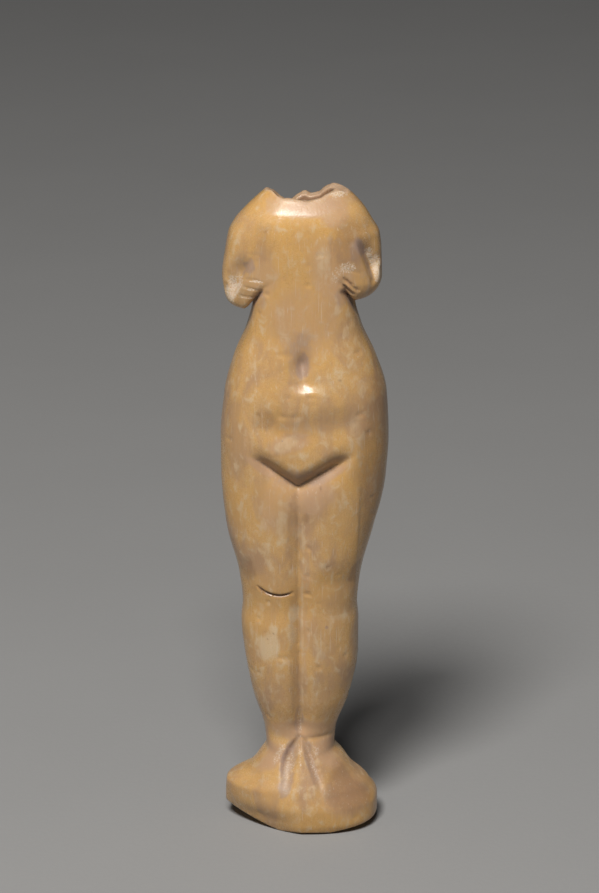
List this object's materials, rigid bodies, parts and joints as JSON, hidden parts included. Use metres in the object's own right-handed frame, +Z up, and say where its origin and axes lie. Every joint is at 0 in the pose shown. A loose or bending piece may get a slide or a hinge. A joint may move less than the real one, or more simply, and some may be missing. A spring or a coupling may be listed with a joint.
{
  "type": "cycladic figurine",
  "caption": "Headless standing female figurine carved in one piece: arms folded under the chest, legs joined, flared foot, and a hollow in the broken neck.",
  "frame": {"origin": "on the flat of the sole, under the figure's upright axis", "axes": "+Z up from the sole to the neck, -Y the way the figure faces, +X towards the arm on the viewer's right"},
  "size_m": [0.0324, 0.0242, 0.1297],
  "materials": {
    "carving": "aged, hand polished, with darker and chalky deposits in the carving"
  },
  "bodies": {
    "root": {"figurine": "carving"}
  },
  "joints": []
}
